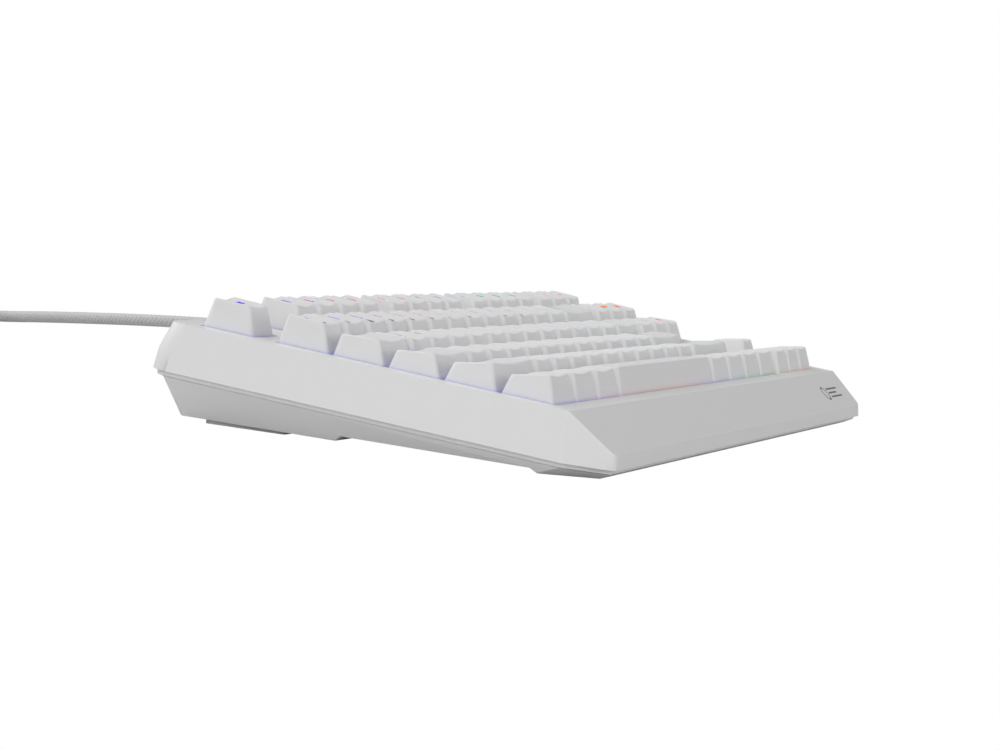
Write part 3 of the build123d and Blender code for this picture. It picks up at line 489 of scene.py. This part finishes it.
def cap_rings(width, row):
    """The rings of points that a cap's skin runs through, from inside its foot to its top."""
    profile = ROW_PROFILES[row]
    front_y, _, back_y, _ = profile
    right = width * UNIT / MM
    dished = width < SPACE_WIDTH
    x_steps = max(8, int(round(8 * width)))

    def ring(share, inset=0.0):
        """The outline at a share of the height, moved in from the cap's sides."""
        x0 = lerp(CAP_GAP, CAP_TOP_SIDE, share) + inset
        y0 = lerp(CAP_GAP, front_y, share) + inset
        y1 = lerp(UNIT / MM - CAP_GAP, back_y, share) - inset
        radius = lerp(CORNER_RADIUS_FOOT, CORNER_RADIUS_TOP, share) - min(inset, 1.0)
        points = outline(x0, right - x0, y0, y1, max(radius, 0.4), x_steps, SIDE_STEPS)
        made = []
        for x, y in points:
            top = cap_top_z(x, y, right, profile, dished)
            made.append((x, y, lerp(CAP_FOOT, top, share)))
        return made

    inner_foot, foot = ring(0.0, CAP_WALL), ring(0.0)
    rings = [ring(INNER_TOP_SHARE, CAP_WALL), ring(0.3, CAP_WALL), inner_foot]
    rings.append(
        [(lerp(a[0], b[0], 0.93), lerp(a[1], b[1], 0.93), b[2]) for a, b in zip(inner_foot, foot)]
    )
    rings.append([(x, y, z + FOOT_BEVEL) for x, y, z in foot])
    for share in SIDE_SHARES:
        rings.append(ring(share))
    height = min(profile[1], profile[3]) - CAP_FOOT
    for step in range(RIM_STEPS):
        angle = math.radians(90 * step / (RIM_STEPS - 1))
        inset = RIM_RADIUS * (1 - math.cos(angle))
        drop = RIM_RADIUS * (1 - math.sin(angle))
        rings.append(ring(1 - drop / height * 0.999, inset))
    top_points = rings[-1]
    centre_x, centre_y = right / 2, (front_y + back_y) / 2
    for scale in TOP_SCALES:
        made = []
        for x, y, _ in top_points:
            nx, ny = lerp(centre_x, x, scale), lerp(centre_y, y, scale)
            made.append((nx, ny, cap_top_z(nx, ny, right, profile, dished)))
        rings.append(made)
    centre = (centre_x, centre_y, cap_top_z(centre_x, centre_y, right, profile, dished))
    return rings, centre


def add_skin(mesh, rings, centre, matrix):
    """Adds a cap's skin to a bmesh: quads between rings, a fan on top and a lid inside."""
    rows = [[mesh.verts.new(matrix @ Vector(point)) for point in ring] for ring in rings]
    count = len(rows[0])
    for low, high in zip(rows, rows[1:]):
        for index in range(count):
            after = (index + 1) % count
            face = mesh.faces.new((low[index], low[after], high[after], high[index]))
            face.smooth = True
    tip = mesh.verts.new(matrix @ Vector(centre))
    for index in range(count):
        face = mesh.faces.new((rows[-1][index], rows[-1][(index + 1) % count], tip))
        face.smooth = True
    mesh.faces.new(list(reversed(rows[0])))


# a box's faces by its corners, which are counted along x, then y, then z
BOX_FACES = [
    (0, 2, 3, 1),
    (4, 5, 7, 6),
    (0, 1, 5, 4),
    (2, 6, 7, 3),
    (0, 4, 6, 2),
    (1, 3, 7, 5),
]


def add_box(mesh, matrix, low, high, material=0):
    """Adds a box between two corners."""
    verts = [
        mesh.verts.new(matrix @ Vector((x, y, z)))
        for z in (low[2], high[2])
        for y in (low[1], high[1])
        for x in (low[0], high[0])
    ]
    for corners in BOX_FACES:
        face = mesh.faces.new([verts[corner] for corner in corners])
        face.material_index = material


def cell_matrix(row, left):
    """From millimetres about a key cell's front left corner to the part's frame in metres."""
    corner = Vector((left * UNIT - HALF_FIELD, row_start(row) * MM, 0))
    return PLATE_MATRIX @ Matrix.Translation(corner) @ Matrix.Scale(MM, 4)


def text_form(text, size_mm):
    """A flat legend as (points, faces) in millimetres, its left end and middle at the origin."""
    curve = bpy.data.curves.new("legend", "FONT")
    curve.body = text
    curve.size = size_mm
    curve.resolution_u = 3
    curve.extrude = LEGEND_DEPTH
    curve.offset = LEGEND_WEIGHT
    curve.align_y = "CENTER"
    holder = bpy.data.objects.new("legend", curve)
    mesh = bpy.data.meshes.new_from_object(holder)
    points = [tuple(vertex.co) for vertex in mesh.vertices]
    faces = [tuple(polygon.vertices) for polygon in mesh.polygons]
    bpy.data.objects.remove(holder)
    bpy.data.curves.remove(curve)
    bpy.data.meshes.remove(mesh)
    return points, faces


def add_legend(mesh, row, left, width, text, size_mm, depth_share, material):
    """Lays a legend on a cap's top, at a share of the depth from its front edge."""
    points, faces = text_form(text, size_mm)
    matrix = cell_matrix(row, left)
    profile = ROW_PROFILES[row]
    right = width * UNIT / MM
    reach = max(x for x, _, _ in points)
    start = CAP_TOP_SIDE + LEGEND_MARGIN if width > 1 else (right - reach) / 2
    middle = lerp(profile[0], profile[2], depth_share)
    verts = []
    for x, y, z in points:
        top = cap_top_z(start + x, middle + y, right, profile, True)
        verts.append(mesh.verts.new(matrix @ Vector((start + x, middle + y, top + z))))
    for corners in faces:
        if len(set(corners)) > 2:
            face = mesh.faces.new([verts[corner] for corner in corners])
            face.material_index = material


def add_key(mesh, row, left, width, legend):
    """Adds one key: its cap's skin, its legends and its stem."""
    matrix = cell_matrix(row, left)
    if legend:
        size = LEGEND_SIZE if len(legend) == 1 else WORD_SIZE
        add_legend(mesh, row, left, width, legend, size, LEGEND_PLACE, LEGEND_INDEX)
    if legend in SECOND_LEGENDS:
        second = SECOND_LEGENDS[legend]
        add_legend(mesh, row, left, width, second, SECOND_SIZE, SECOND_PLACE, PRINT_INDEX)
    rings, centre = cap_rings(width, row)
    add_skin(mesh, rings, centre, matrix)
    middle = Vector((width * UNIT / MM / 2, UNIT / MM / 2, 0))
    stem = matrix @ Matrix.Translation(middle)
    foot, shoulder, tip = (PLATE_TOP / MM + height for height in STEM_HEIGHTS)
    long, thin = CROSS_HALVES
    wide, deep = STEM_HALVES
    add_box(mesh, stem, (-long, -thin, shoulder), (long, thin, tip), STEM_INDEX)
    add_box(mesh, stem, (-thin, -long, shoulder), (thin, long, tip), STEM_INDEX)
    add_box(mesh, stem, (-wide, -deep, foot), (wide, deep, shoulder), STEM_INDEX)


def make_keys():
    """One piece for each key body, with the caps and the stems that it carries."""
    sets = [(body, row, [(left, width, text)]) for body, row, left, width, text in SINGLE_KEYS]
    for body, row, first, legends in KEY_BLOCKS:
        keys = [(first + index, 1.0, text) for index, text in enumerate(legends.split())]
        sets.append((body, row, keys))
    for body, row, keys in sets:
        mesh = bmesh.new()
        for left, width, text in keys:
            add_key(mesh, row, left, width, text)
        data = bpy.data.meshes.new("caps_" + body)
        mesh.to_mesh(data)
        mesh.free()
        materials = [KEYCAP, HOUSING, LEGEND, PRINT]
        piece = link_mesh("caps_" + body, data, body, materials)
        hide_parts(body)


make_keys()


# ---------------------------------------------------------------- printed mark
# the front slope's upper and lower edges, plate-frame y and z
SLOPE_TOP_MM, SLOPE_FOOT_MM = (-7.08, 0.0), (-22.3, -11.1)
MARK_DEPTH, MARK_HEIGHT = -0.05, 0.02           # let into the slope, and proud of it
RING_INNER, RING_OUTER, RING_STEPS = 2.7, 3.5, 32
BAR_HALF = 0.4
MARK_DOWN = 0.55                # share of the way down the slope
MARK_RIGHT = 37.0               # from the key field's right end to the ring's middle
MARK_BARS = [(5.5, 24.0, 2.0), (5.5, 19.0, 0.0), (5.5, 24.0, -2.0)]   # start, end, height


def make_mark():
    """A small printed ring and three bars on the front slope."""
    down = Vector((0, SLOPE_FOOT_MM[0] - SLOPE_TOP_MM[0], SLOPE_FOOT_MM[1] - SLOPE_TOP_MM[1]))
    middle = Vector((HALF_FIELD / MM - MARK_RIGHT, SLOPE_TOP_MM[0], 0)) + down * MARK_DOWN
    up = -down.normalized()
    out = Vector((1, 0, 0)).cross(up)
    axes = Matrix((Vector((1, 0, 0)), up, out)).transposed().to_4x4()
    matrix = PLATE_MATRIX @ Matrix.Scale(MM, 4) @ Matrix.Translation(middle) @ axes
    mesh = bmesh.new()
    for start, end, height in MARK_BARS:
        low_corner = (start, height - BAR_HALF, MARK_DEPTH)
        add_box(mesh, matrix, low_corner, (end, height + BAR_HALF, MARK_HEIGHT))
    turn = [2 * math.pi * step / RING_STEPS for step in range(RING_STEPS)]
    section = [(RING_INNER, MARK_DEPTH), (RING_OUTER, MARK_DEPTH)]
    section += [(RING_OUTER, MARK_HEIGHT), (RING_INNER, MARK_HEIGHT)]
    rings = []
    for radius, z in section:
        points = [(radius * math.cos(angle), radius * math.sin(angle), z) for angle in turn]
        rings.append([mesh.verts.new(matrix @ Vector(point)) for point in points])
    for index in range(4):
        low, high = rings[index], rings[(index + 1) % 4]
        for step in range(RING_STEPS):
            after = (step + 1) % RING_STEPS
            mesh.faces.new((low[step], high[step], high[after], low[after]))
    bmesh.ops.recalc_face_normals(mesh, faces=mesh.faces)
    data = bpy.data.meshes.new("printed_mark")
    mesh.to_mesh(data)
    mesh.free()
    link_mesh("printed_mark", data, "case", [PRINT])


make_mark()


# ---------------------------------------------------------------- cord
def coil_points():
    """The wound length's points: three turns a layer, in and out by turns, layer on layer."""
    start = COIL_START - COIL_CENTRE
    start_angle = math.atan2(start.y, start.x)
    outer, middle, inner = COIL_RADII[2], COIL_RADII[1], COIL_RADII[0]
    # turn count at which the cord starts to move, and the radius and layer that it moves to
    moves = [
        (0.8, middle, 0),
        (1.8, inner, 0),
        (2.6, inner, 1),
        (3.4, middle, 1),
        (4.4, outer, 1),
        (5.2, outer, 2),
        (6.0, middle, 2),
        (7.0, inner, 2),
        (7.8, inner, 3),
        (8.6, middle, 3),
        (9.6, outer, 3),
    ]
    count = int(COIL_TURNS * COIL_POINTS_PER_TURN)
    shrink = math.cos(math.pi / COIL_POINTS_PER_TURN)
    points = []
    for index in range(1, count):
        turns = COIL_TURNS * index / count
        radius, layer = outer, 0.0
        for start, to_radius, to_layer in moves:
            share = min(max((turns - start) / 0.2, 0.0), 1.0)
            radius = lerp(radius, to_radius, share)
            layer = lerp(layer, to_layer, share)
        angle = start_angle + 2 * math.pi * turns
        z = COIL_FIRST_LAYER + layer * COIL_LAYER_STEP
        direction = Vector((math.cos(angle), math.sin(angle), 0))
        points.append(COIL_CENTRE + direction * radius / shrink + Vector((0, 0, z)))
    return points


EXIT_ANGLE = math.radians(119.25)
TAIL_MM = [(0.0, 17.8), (18.0, 16.4), (36.0, 9.8), (54.0, 4.6), (66.0, 4.5)]


def tail_points():
    """The points from the wound part to the plug."""
    along = Vector((-math.sin(EXIT_ANGLE), math.cos(EXIT_ANGLE), 0))
    start = COIL_CENTRE + COIL_RADII[2] * Vector((math.cos(EXIT_ANGLE), math.sin(EXIT_ANGLE), 0))
    return [start + along * distance * MM + Vector((0, 0, z * MM)) for distance, z in TAIL_MM]


def cord_line():
    """The points of the cord's one smooth line, read from its spline."""
    points = [Vector(point) * MM for point in LEAD_ROUTE_MM] + coil_points() + tail_points()
    curve = bpy.data.curves.new("cord_line", "CURVE")
    curve.dimensions = "3D"
    curve.resolution_u = 8
    spline = curve.splines.new("NURBS")
    spline.points.add(len(points) - 1)
    for knot, point in zip(spline.points, points):
        knot.co = (*point, 1)
    spline.order_u = 3
    spline.use_endpoint_u = True
    holder = bpy.data.objects.new("cord_line", curve)
    line = bpy.data.meshes.new_from_object(holder)
    path = [vertex.co.copy() for vertex in line.vertices]
    bpy.data.objects.remove(holder)
    bpy.data.curves.remove(curve)
    bpy.data.meshes.remove(line)
    return path


def even_steps(path, step):
    """Points at even distances along a line, with the distance of each."""
    made = [(0.0, path[0])]
    travelled, target = 0.0, step
    for before, after in zip(path, path[1:]):
        run = (after - before).length
        while run > 0 and target <= travelled + run:
            made.append((target, before.lerp(after, (target - travelled) / run)))
            target += step
        travelled += run
    return made


def braid_relief(around, along):
    """Height of the braid, 0 to 1, at a share of the way round and a distance along."""
    turn = around * BRAID_BANDS
    slant = 1 if math.floor(turn) % 2 == 0 else -1
    return abs(math.sin(math.pi * (turn + slant * along / BRAID_CELL)))


def make_cord():
    """The whole cord: a braided tube along its smooth line, with painted shade on the faces in
    the braid's valleys.
    """
    path = cord_line()
    steps = even_steps(path, BRAID_STEP)
    mesh = bmesh.new()
    rings = []
    reliefs = []
    side = Vector((0, 0, 1))
    for index, (along, point) in enumerate(steps):
        before, after = steps[max(index - 1, 0)][1], steps[min(index + 1, len(steps) - 1)][1]
        tangent = (after - before).normalized()
        side = (side - tangent * side.dot(tangent)).normalized()
        across = tangent.cross(side)
        ring, heights = [], []
        for spoke in range(BRAID_SPOKES):
            angle = 2 * math.pi * spoke / BRAID_SPOKES
            relief = braid_relief(spoke / BRAID_SPOKES, along)
            radius = CORD_DIAMETER / 2 - BRAID_DEPTH * (1 - relief)
            outwards = math.cos(angle) * side + math.sin(angle) * across
            ring.append(mesh.verts.new(point + radius * outwards))
            heights.append(relief)
        rings.append(ring)
        reliefs.append(heights)
    for index in range(len(rings) - 1):
        low, high = rings[index], rings[index + 1]
        for spoke in range(BRAID_SPOKES):
            after = (spoke + 1) % BRAID_SPOKES
            face = mesh.faces.new((low[spoke], low[after], high[after], high[spoke]))
            face.smooth = True
            # faces low in the braid's valleys get the darker grey: painted shade
            around = reliefs[index][spoke] + reliefs[index][after] + reliefs[index + 1][spoke]
            face.material_index = 1 if around < BRAID_PAINTED_SHADE_BELOW else 0
    mesh.faces.new(list(reversed(rings[0])))
    mesh.faces.new(rings[-1])
    data = bpy.data.meshes.new("usb_cord_braid")
    mesh.to_mesh(data)
    mesh.free()
    piece = link_mesh("usb_cord_braid", data, "case", [CORD, CORD_PAINTED_SHADE])
    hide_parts("usb_cord", "cord_coil", "cord_tail")


make_cord()


# ---------------------------------------------------------------- studio
# soft light from the sky: direction, sharpness and strength of each lobe
SKY_EVEN = 0.12
SKY_LOBES = [
    ((-1.0, 0.0, 0.25), 4.0, 1.45),
    ((-0.8, -0.6, 0.3), 6.0, 0.45),
    ((0.15, 0.8, 0.9), 8.0, 3.3),
    ((0.0, -1.0, 0.04), 9.0, 2.6),
]


def make_sky():
    """An even white background that lights the object from soft broad directions."""
    world = bpy.data.worlds.new("studio")
    bpy.context.scene.world = world
    world.use_nodes = True
    tree = world.node_tree
    tree.nodes.clear()
    direction = add(tree, "ShaderNodeTexCoord").outputs["Generated"]
    total = None
    for aim, sharpness, strength in SKY_LOBES:
        dot = add(tree, "ShaderNodeVectorMath", (direction, 0), operation="DOT_PRODUCT")
        dot.inputs[1].default_value = Vector(aim).normalized()
        front = add(tree, "ShaderNodeMath", (dot.outputs["Value"], 0), operation="MAXIMUM")
        front.inputs[1].default_value = 0.0
        lobe = add(tree, "ShaderNodeMath", (front.outputs[0], 0), operation="POWER")
        lobe.inputs[1].default_value = sharpness
        scaled = add(tree, "ShaderNodeMath", (lobe.outputs[0], 0), operation="MULTIPLY_ADD")
        scaled.inputs[1].default_value = strength
        scaled.inputs[2].default_value = SKY_EVEN
        if total is not None:
            scaled.inputs[2].default_value = 0.0
            tree.links.new(total, scaled.inputs[2])
        total = scaled.outputs[0]
    sky = add(tree, "ShaderNodeBackground", (total, "Strength"))
    white = add(tree, "ShaderNodeBackground")
    white.inputs["Color"].default_value = (1, 1, 1, 1)
    sky.inputs["Color"].default_value = (1, 1, 1, 1)
    ray = add(tree, "ShaderNodeLightPath")
    mix = add(tree, "ShaderNodeMixShader", (ray.outputs["Is Camera Ray"], 0))
    tree.links.new(sky.outputs[0], mix.inputs[1])
    tree.links.new(white.outputs[0], mix.inputs[2])
    output = add(tree, "ShaderNodeOutputWorld")
    tree.links.new(mix.outputs[0], output.inputs["Surface"])


def make_floor():
    """The white studio floor."""
    mesh = bmesh.new()
    corners = [(-8, -8, 0), (12, -8, 0), (12, 12, 0), (-8, 12, 0)]
    mesh.faces.new([mesh.verts.new(corner) for corner in corners])
    data = bpy.data.meshes.new("floor")
    mesh.to_mesh(data)
    mesh.free()
    floor = bpy.data.objects.new("floor", data)
    bpy.context.scene.collection.objects.link(floor)
    floor.location.z = -0.0002
    material, tree, output = new_material("floor")
    soft = add(tree, "ShaderNodeBsdfDiffuse", Color=(0.55, 0.55, 0.55, 1))
    white = add(tree, "ShaderNodeEmission", Color=(1, 1, 1, 1))
    ray = add(tree, "ShaderNodeLightPath")
    mix = add(tree, "ShaderNodeMixShader", (ray.outputs["Is Camera Ray"], 0))
    tree.links.new(soft.outputs[0], mix.inputs[1])
    tree.links.new(white.outputs[0], mix.inputs[2])
    tree.links.new(mix.outputs[0], output.inputs["Surface"])
    data.materials.append(material)


make_sky()
make_floor()
bpy.context.scene.view_settings.view_transform = "Standard"
